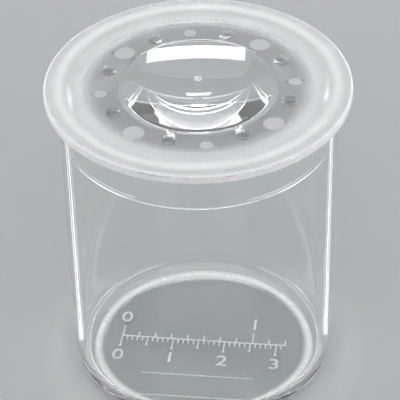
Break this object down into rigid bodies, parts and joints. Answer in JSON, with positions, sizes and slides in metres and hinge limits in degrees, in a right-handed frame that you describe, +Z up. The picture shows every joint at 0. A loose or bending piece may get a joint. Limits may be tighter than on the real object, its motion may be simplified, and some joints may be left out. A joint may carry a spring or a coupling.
{
  "type": "bug catcher jar",
  "caption": "Clear tapered viewing cup with a push-fit frosted lid, air holes round a domed magnifier lens, and a rounded flat foot.",
  "frame": {"origin": "centre of the foot, on the plane that the jar stands on", "axes": "+Z up along the jar's axis through the middle of the lens, +X along the measuring scale on the floor"},
  "size_m": [0.0564, 0.0564, 0.0629],
  "materials": {
    "clear_plastic": "clear polished polystyrene",
    "frosted_plastic": "fine frosted polystyrene",
    "lens_plastic": "clear optically polished polystyrene"
  },
  "bodies": {
    "jar": {"jar": "clear_plastic"},
    "lid": {"lid": "frosted_plastic", "lens": "lens_plastic"}
  },
  "joints": [
    {"name": "lid_lift", "type": "slide", "parent": "jar", "child": "lid", "axis": [0, 0, 1], "range_m": [0, 0.03]}
  ]
}
